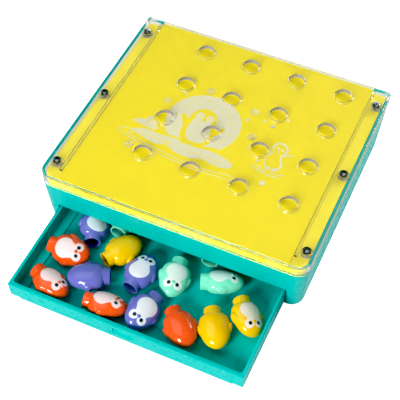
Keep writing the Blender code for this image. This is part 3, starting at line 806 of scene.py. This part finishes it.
def flowing(points, steps=6, closed=True):
    """A smooth line through points, or round them."""
    if closed:
        knots = [points[-1], *points, points[0], points[1]]
    else:
        knots = [points[0], *points, points[-1]]
    out = []
    for four in zip(knots, knots[1:], knots[2:], knots[3:]):
        a, b, c, d = (Vector(knot) for knot in four)
        for step in range(steps):
            t = step / steps
            out.append(tuple(0.5 * ((2 * b) + (c - a) * t + (2 * a - 5 * b + 4 * c - d) * t * t
                                    + (3 * b - a - 3 * c + d) * t * t * t)))
    return out if closed else out + [tuple(points[-1])]


class Print:
    """Thin layers of ink on the card. Each later layer stands a hair higher."""

    def __init__(self):
        self.bm = bmesh.new()
        self.height = 0.02 * MM

    def prism(self, loops, ink):
        """Add flat shapes, given as outlines in mm, as one layer."""
        low, high = CARD_TOP - 0.01 * MM, CARD_TOP + self.height
        self.height += 0.004 * MM
        for loop in loops:
            lower = [self.bm.verts.new((x * MM, y * MM, low)) for x, y in loop]
            upper = [self.bm.verts.new((x * MM, y * MM, high)) for x, y in loop]
            faces = [self.bm.faces.new(upper), self.bm.faces.new(lower[::-1])]
            for i in range(len(loop)):
                j = (i + 1) % len(loop)
                faces.append(self.bm.faces.new((lower[i], lower[j], upper[j], upper[i])))
            for face in faces:
                face.material_index = ink

    def line(self, points, width, ink=0):
        """Add a line of even width with tapered ends."""
        left, right = [], []
        for index, point in enumerate(points):
            before = Vector(points[max(index - 1, 0)])
            after = Vector(points[min(index + 1, len(points) - 1)])
            along = (after - before).normalized()
            aside = Vector((-along.y, along.x)) * width / 2
            if index in (0, len(points) - 1):
                aside = aside * 0.3
            left.append(tuple(Vector(point) + aside))
            right.append(tuple(Vector(point) - aside))
        self.prism([left + right[::-1]], ink)

    def curve(self, points, width, ink=0):
        """Add a smooth line through points."""
        self.line(flowing(points, closed=False), width, ink)

    def flake(self, x, y, size, turn=0.0):
        """Add a six-armed snowflake."""
        for arm in range(6):
            angle = math.radians(60 * arm + turn)
            reach = Vector((math.cos(angle), math.sin(angle))) * size
            root, tip = Vector((x, y)) + reach * 0.18, Vector((x, y)) + reach
            self.line([tuple(root), tuple(root.lerp(tip, 0.5)), tuple(tip)], 0.22 * size)
            for side in (-1, 1):
                fork = angle + side * math.radians(50)
                start = root.lerp(tip, 0.45)
                end = start + Vector((math.cos(fork), math.sin(fork))) * 0.38 * size
                self.line([tuple(start), tuple(end)], 0.14 * size)


def draw_picture():
    """A winter scene of our own: a moon, an ice floe, two simple penguins and snow."""
    cream, yellow = 0, 1
    page = Print()
    # The moon, with the floe's far edge cut across its foot
    page.prism([oval(-15.0, 4.0, 27.0, 27.0, points=96)], cream)
    page.prism([flowing([(-44, -26), (-40, -17.5), (-26, -15.5), (-12, -17.0), (2, -14.0),
                         (14, -17), (16, -26), (0, -30), (-28, -30)])], yellow)
    # Distant peaks on the left
    page.prism([[(-62, -13.5), (-56.5, -9.5), (-54.5, -10.2), (-50.5, -4.0), (-47.5, -8.5),
                 (-46, -7.5), (-41.5, -14.5), (-44, -16.0), (-52, -15.2)]], cream)
    page.prism([[(-50.4, -6.4), (-49.6, -9.5), (-51.0, -11.5), (-50.2, -14.2), (-49.8, -14.2),
                 (-50.2, -11.4), (-48.9, -9.4)],
                [(-46.2, -9.5), (-45.4, -12.5), (-46.2, -14.0), (-45.8, -14.0), (-44.9, -12.4)]],
               yellow)
    # The floe and the broken edge of its ice
    page.prism([flowing([(-58, -21.5), (-50, -17.5), (-38, -18.0), (-26, -17.2), (-12, -18.8),
                         (0, -17.5), (12, -19.5), (19, -23.0), (17, -27.0), (8, -28.5), (-2, -26.5),
                         (-10, -29.0), (-22, -28.5), (-30, -25.0), (-38, -27.0), (-46, -25.5),
                         (-53, -23.5)])], cream)
    page.curve([(-52, -21.6), (-42, -22.4), (-34, -21.6), (-27, -23.0)], 0.5, yellow)
    page.curve([(-14, -24.6), (-6, -23.0), (4, -24.0), (11, -23.4)], 0.5, yellow)
    page.prism([oval(-31, -23.0, 1.7, 0.8), oval(8, -25.8, 0.9, 0.5), oval(12, -25.0, 0.7, 0.4)],
               yellow)
    # Still water round the floe
    page.curve([(-50, -30.5), (-62, -27.5), (-67, -24.5), (-63, -21.8), (-57, -22.2)], 0.55)
    page.curve([(-56, -23.8), (-59, -25.2), (-57, -26.4), (-44, -29.6), (-28, -32.0)], 0.5)
    page.curve([(-50, -30.5), (-34, -34.2), (-16, -36.0), (2, -36.6), (14, -36.2)], 0.55)
    page.curve([(-28, -32.0), (-10, -33.8), (6, -34.0), (20, -32.2), (26, -33.6), (22, -36.2),
                (14, -36.2)], 0.5)
    # A round penguin with its flippers held out stands before the moon
    page.prism([flowing([(-17, 17.5), (-23, 14.5), (-25.8, 8.5), (-25.8, 4.0), (-29.5, 7.0),
                         (-32.0, 6.2), (-30.5, 2.0), (-27.2, -3.5), (-26.5, -10.0), (-22.5, -16.2),
                         (-14.0, -17.6), (-6.5, -15.6), (-3.0, -9.5), (-3.8, -3.2), (0.5, 0.4),
                         (1.6, 4.6), (-1.4, 4.8), (-5.6, 2.4), (-6.6, 9.0), (-9.6, 14.8)], 5)],
               yellow)
    page.prism([flowing([(-20.5, 8.6), (-23.0, 2.0), (-23.2, -6.5), (-19.5, -13.6), (-13.5, -15.0),
                         (-8.0, -12.8), (-6.2, -6.5), (-8.0, 1.6), (-10.6, 7.4), (-15.4, 5.6)],
                        5)], cream)
    page.prism([oval(-19.6, 9.6, 3.1, 3.3), oval(-11.8, 9.2, 3.1, 3.3)], cream)
    page.prism([oval(-19.0, 9.6, 0.9, 1.0), oval(-12.4, 9.3, 0.9, 1.0),
                [(-17.0, 8.0), (-14.2, 7.9), (-15.6, 5.6)]], yellow)
    page.prism([oval(-19.0, -17.6, 3.0, 1.3, 12), oval(-10.0, -17.4, 3.0, 1.3, -12)], yellow)
    # Falling snow on the moon
    for x, y in ((-33, 14), (-29, 21), (-20, 25), (-2, 19), (4, 12), (-36, 4), (6, 2), (3, -6)):
        page.prism([oval(x, y, 0.75, 0.75, points=16)], yellow)
    # A young penguin sliding on the right, drawn in outline
    page.curve([(38.5, 2.8), (39.5, 7.8), (44.0, 9.2), (48.0, 6.4), (48.6, 1.8), (46.6, -1.6),
                (47.8, -6.0), (49.6, -10.0), (48.0, -14.0)], 1.5)
    page.curve([(38.5, 2.8), (40.4, -0.8), (37.4, -4.6), (37.2, -10.0), (40.0, -14.6)], 0.7)
    page.curve([(47.0, -1.4), (50.6, 0.4), (53.8, 2.2)], 0.9)
    page.curve([(39.6, -2.2), (36.4, 0.6), (34.0, 3.0)], 0.9)
    page.prism([oval(41.6, 4.4, 1.0, 1.1), oval(45.4, 3.6, 1.0, 1.1),
                [(42.6, 2.2), (44.6, 1.9), (43.4, 0.4)],
                oval(41.6, -15.2, 2.2, 1.4, -20), oval(46.6, -14.8, 2.2, 1.4, 15)], cream)
    page.curve([(30, -17), (36, -19.6), (44, -21.0), (52, -20.4)], 0.7)
    page.curve([(34, -15.2), (37, -17.4), (41, -18.6)], 0.9)
    page.curve([(44, -18.0), (49, -18.2), (55, -16.6)], 0.5)
    # Snow
    for x, y, size, turn in ((-47.0, 13.8, 3.2, 8), (-22.6, 34.9, 3.6, 20), (14.2, 29.1, 3.8, 0),
                             (21.4, 6.3, 3.4, 14), (-53.6, -35.0, 3.6, 4)):
        page.flake(x, y, size, turn)
    for x, y, size in ((12.5, 20.0, 1.3), (24.0, 23.5, 1.1), (31.0, 21.5, 1.5), (38.5, 31.0, 1.0),
                       (-38.0, 25.5, 0.9), (43.5, -29.0, 2.0), (33.0, -12.2, 1.0)):
        page.prism([oval(x, y, size, size, points=24)], cream)
    return finish_mesh("card_picture", page.bm)


def make_card(paper, ink):
    """The challenge card and the picture printed on it."""
    half_width = RIB_X - RIB_THICKNESS / 2 - CARD_CLEARANCE
    card = blank("card", boxes_mesh("card", [(
        (-half_width, CARD_FRONT, CARD_BOTTOM), (half_width, CARD_BACK, CARD_TOP))]))
    add_bevel(card, 0.12 * MM, 2)
    settle(card).matrix_world = BOX_FRAME
    piece(card, "card", [paper], "challenge_card")
    picture = blank("card_picture", draw_picture(), BOX_FRAME)
    piece(picture, "card", [ink, paper])


# ---------------------------------------------------------------- drawer and pegs

def make_drawer(material):
    """The shallow tray, with a raised step along each side that clears the base's ledges."""
    bm = bmesh.new()
    for vert in add_box(bm, (-DRAWER_HALF_WIDTH, DRAWER_FRONT, DRAWER_BOTTOM),
                        (DRAWER_HALF_WIDTH, DRAWER_BACK, DRAWER_TOP)):
        if vert.co.y < 0 and vert.co.z < DRAWER_TOP / 2:
            vert.co.y += DRAWER_LEAN
    drawer = blank("drawer", smooth(finish_mesh("drawer", bm)))
    notch_inside = DRAWER_HALF_WIDTH - NOTCH_WIDTH
    cut(drawer, boxes_mesh("notches", mirrored(
        (notch_inside, DRAWER_FRONT - OVERLAP, -OVERLAP),
        (DRAWER_HALF_WIDTH + OVERLAP, DRAWER_BACK + OVERLAP, NOTCH_TOP))))
    inner_front = DRAWER_FRONT + DRAWER_FRONT_WALL
    inner_back = DRAWER_BACK - DRAWER_BACK_WALL
    inner_side = DRAWER_HALF_WIDTH - DRAWER_SIDE_WALL
    step_top = NOTCH_TOP + DRAWER_FLOOR
    middle = (inner_front + inner_back) / 2
    room = rounded_block("drawer_room", inner_side, (inner_back - inner_front) / 2, step_top,
                         DRAWER_TOP + OVERLAP, 2.0 * MM, 2.0 * MM)
    room.transform(Matrix.Translation((0.0, middle, 0.0)))
    cut(drawer, room)
    cut(drawer, boxes_mesh("drawer_well", [(
        (-notch_inside + DRAWER_FLOOR, inner_front + 0.2 * MM, DRAWER_BOTTOM + DRAWER_FLOOR),
        (notch_inside - DRAWER_FLOOR, inner_back - 0.2 * MM, step_top + OVERLAP))]))
    cut(drawer, boxes_mesh("rim_step", [(
        (-inner_side - OVERLAP, inner_front - RIM_STEP_WIDTH, DRAWER_TOP - RIM_STEP_DEPTH),
        (inner_side + OVERLAP, inner_front + OVERLAP, DRAWER_TOP + OVERLAP))]))
    scoop = rounded_block("scoop", SCOOP_HALF_WIDTH, (SCOOP_TOP - SCOOP_BOTTOM) / 2,
                          -2 * SCOOP_DEPTH, SCOOP_DEPTH + DRAWER_LEAN / 2, 2.0 * MM, 2.0 * MM)
    scoop.transform(Matrix.Translation((0.0, DRAWER_FRONT, (SCOOP_TOP + SCOOP_BOTTOM) / 2))
                    @ Matrix.Rotation(math.radians(-90), 4, "X"))
    cut(drawer, scoop)
    join(drawer, boxes_mesh("stops", mirrored(
        (inner_side, STOP_FRONT, DRAWER_TOP - OVERLAP),
        (DRAWER_HALF_WIDTH, STOP_FRONT + STOP_LENGTH, STOP_TOP))))
    add_bevel(drawer, 0.3 * MM, split=True)
    settle(drawer).matrix_world = DRAWER_FRAME
    return piece(drawer, "drawer", [material], "drawer_tray")


def make_peg_mesh():
    """One penguin peg: an oval egg of a body, two flippers, a beak and a hollow stem."""
    profile = [(0.0, PEG_TOP)]
    for angle in range(85, -1, -5):
        rise, reach = math.sin(math.radians(angle)), math.cos(math.radians(angle))
        profile.append((PEG_WIDE * reach, PEG_WAIST + (PEG_TOP - PEG_WAIST) * rise))
    for angle in range(5, 90, 5):
        drop, reach = (part(math.radians(angle)) ** (2 / PEG_SHOULDER)
                       for part in (math.sin, math.cos))
        profile.append((PEG_WIDE * reach, PEG_WAIST - PEG_BELLY_DROP * drop))
    profile.append((0.0, PEG_WAIST - PEG_BELLY_DROP))
    bm = bmesh.new()
    bm.from_mesh(turned_mesh("egg", profile, 64))
    bmesh.ops.scale(bm, vec=(1.0, PEG_DEEP / PEG_WIDE, 1.0), verts=bm.verts)
    for side in (-1, 1):
        x, y, z = FLIPPER_AT
        place = (Matrix.Translation((side * x, y, z)) @ Matrix.Rotation(-side * FLIPPER_TILT, 4, "Y")
                 @ Matrix.Diagonal((*FLIPPER_HALF_SIZE, 1.0)))
        bmesh.ops.create_uvsphere(bm, u_segments=32, v_segments=20, radius=1.0, matrix=place)
    place = Matrix.Translation(BEAK_AT) @ Matrix.Diagonal((*BEAK_HALF_SIZE, 1.0))
    bmesh.ops.create_uvsphere(bm, u_segments=20, v_segments=12, radius=1.0, matrix=place)
    peg = blank("peg", finish_mesh("peg", bm))
    remesh = peg.modifiers.new("remesh", "REMESH")
    remesh.mode = "VOXEL"
    remesh.voxel_size = PEG_VOXEL
    relax = peg.modifiers.new("relax", "SMOOTH")
    relax.factor = 0.5
    relax.iterations = 6
    fewer = peg.modifiers.new("fewer", "DECIMATE")
    fewer.ratio = 0.45

    arc = [math.radians(angle) for angle in (30, 60, 90)]
    post = [(0.0, STEM_ROOT), (STEM_RADIUS, STEM_ROOT), (STEM_RADIUS, STEM_LIP - STEM_LENGTH)]
    post += [(STEM_RADIUS - STEM_LIP * (1 - math.cos(a)), STEM_LIP * (1 - math.sin(a)) - STEM_LENGTH)
             for a in arc]
    join(peg, turned_mesh("stem", post + [(0.0, -STEM_LENGTH)], 48))
    mouth = STEM_BORE_RADIUS + STEM_LIP
    bore = [(0.0, BORE_TOP), (STEM_BORE_RADIUS - BORE_ROUNDING, BORE_TOP)]
    bore += [(STEM_BORE_RADIUS - BORE_ROUNDING * (1 - math.sin(a)),
              BORE_TOP - BORE_ROUNDING * (1 - math.cos(a))) for a in arc]
    bore += [(STEM_BORE_RADIUS, STEM_LIP - STEM_LENGTH)]
    bore += [(mouth - STEM_LIP * math.cos(a), STEM_LIP * (1 - math.sin(a)) - STEM_LENGTH)
             for a in arc]
    bore += [(mouth, -STEM_LENGTH - OVERLAP), (0.0, -STEM_LENGTH - OVERLAP)]
    cut(peg, turned_mesh("bore", bore, 48))
    settle(peg)
    mesh = peg.data
    bpy.data.objects.remove(peg, do_unlink=True)
    mesh.shade_smooth()
    mesh.set_sharp_from_angle(angle=math.radians(50))
    places = mesh.attributes.new(PEG_PLACE, "FLOAT_VECTOR", "POINT")
    for vert, place in zip(mesh.vertices, places.data):
        place.vector = vert.co
    return mesh


def peg_turn(heading, roll):
    """The rotation of a peg whose head points that way and that leans off its back by the roll."""
    turn, lean = math.radians(heading), math.radians(roll)
    head = Vector((math.cos(turn), math.sin(turn), 0.0))
    left = Vector((-math.sin(turn), math.cos(turn), 0.0))
    back = -(math.cos(lean) * Vector((0.0, 0.0, 1.0)) + math.sin(lean) * left)
    return Matrix((back.cross(head), back, head)).transposed()


def peg_place(node, turn):
    """Where a peg stands, from its CAD node: in its own frame, its crown is PEG_TOP up."""
    local = [turn.transposed() @ vert.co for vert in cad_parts[node].data.vertices]
    xs, ys, zs = ([point[axis] for point in local] for axis in range(3))
    origin = Vector(((min(xs) + max(xs)) / 2, (min(ys) + max(ys)) / 2, max(zs) - PEG_TOP))
    return Matrix.Translation(turn @ origin) @ turn.to_4x4()


def make_pegs():
    """The sixteen pegs, four of each colour, lying in the drawer."""
    shape = make_peg_mesh()
    for colour, turns in PEG_TURNS.items():
        material = peg_plastic("peg_" + colour, *PEG_COLOURS[colour])
        for index, (heading, roll) in enumerate(turns, start=1):
            node = f"penguin_peg_{colour}_{index}"
            mesh = shape.copy()
            mesh.transform(peg_place(node, peg_turn(heading, roll)))
            peg = blank(f"peg_{colour}_{index}", mesh)
            piece(peg, f"peg_{colour}_{index}", [material], node)


# ---------------------------------------------------------------- studio

def make_floor():
    """A pale floor that the object stands on. The camera sees it white, and no shadows on it."""
    bm = bmesh.new()
    bmesh.ops.create_grid(bm, x_segments=8, y_segments=8, size=3.0,
                          matrix=Matrix.Translation((0.0, 0.0, cad_low.z - 0.2 * MM)))
    floor = blank("floor", finish_mesh("floor", bm))
    material, tree, shader = new_material("floor_paper", {
        "Roughness": 0.7, "Emission Color": (1.0, 1.0, 1.0, 1.0)})
    paper = mix_colour(tree, noise(tree, 0.4, 2.0), (0.74, 0.74, 0.74, 1.0), (0.78, 0.78, 0.78, 1.0))
    tree.links.new(paper, shader.inputs["Base Color"])
    tree.links.new(add_node(tree, "ShaderNodeLightPath").outputs["Is Camera Ray"],
                   shader.inputs["Emission Strength"])
    floor.data.materials.append(material)


def add_light(name, azimuth, elevation, distance, size, power):
    """A square lamp round the object, seen from it at that azimuth and elevation."""
    data = bpy.data.lights.new(name, "AREA")
    data.shape = "SQUARE"
    data.size = size
    data.energy = power
    lamp = bpy.data.objects.new(name, data)
    a, e = math.radians(azimuth), math.radians(elevation)
    away = Vector((math.sin(a) * math.cos(e), -math.cos(a) * math.cos(e), math.sin(e)))
    lamp.location = away * distance
    lamp.rotation_mode = "QUATERNION"
    lamp.rotation_quaternion = away.to_track_quat("Z", "Y")
    bpy.context.scene.collection.objects.link(lamp)


def make_studio():
    """A dim room that the camera sees white, with a lamp overhead, one in front and one behind."""
    world = bpy.data.worlds.new("studio")
    world.use_nodes = True
    tree = world.node_tree
    background = tree.nodes["Background"]
    background.inputs["Color"].default_value = (1.0, 1.0, 1.0, 1.0)
    seen = add_node(tree, "ShaderNodeLightPath").outputs["Is Camera Ray"]
    brighter = maths(tree, "MULTIPLY", seen, 1.0 - ROOM_LIGHT)
    strength = maths(tree, "ADD", brighter, ROOM_LIGHT)
    tree.links.new(strength, background.inputs["Strength"])
    bpy.context.scene.world = world
    for name, numbers in LAMPS.items():
        add_light(name, *numbers)
    view = bpy.context.scene.view_settings
    view.view_transform = "Standard"
    view.use_curve_mapping = True
    view.curve_mapping.black_level = BLACK_LEVEL
    view.curve_mapping.update()


def make_camera():
    """A long lens at the front right, looking down on the open drawer."""
    data = bpy.data.cameras.new("camera")
    data.lens = CAMERA_LENS
    data.sensor_width = CAMERA_SENSOR
    camera = bpy.data.objects.new("camera", data)
    forward = (CAMERA_AIM - CAMERA_AT).normalized()
    level = forward.cross(Vector((0.0, 0.0, 1.0))).normalized()
    right = math.cos(CAMERA_ROLL) * level + math.sin(CAMERA_ROLL) * level.cross(forward)
    turn = Matrix((right, right.cross(forward), -forward)).transposed()
    camera.matrix_world = Matrix.Translation(CAMERA_AT) @ turn.to_4x4()
    bpy.context.scene.collection.objects.link(camera)
    bpy.context.scene.camera = camera


def main():
    """Build every piece, the studio and the camera."""
    teal = plastic("teal_plastic", TEAL, 0.28)
    make_base(teal)
    make_deck(plastic("yellow_plastic", DECK_YELLOW, 0.35))
    make_cover(clear_plastic("clear_plastic"), grey_shade_plastic("grey_shade_plastic"))
    make_screws(steel("screw_steel"))
    make_card(card_stock("card_yellow", CARD_YELLOW), card_stock("card_ink", INK_CREAM))
    make_drawer(teal)
    make_pegs()
    make_floor()
    make_studio()
    make_camera()


main()
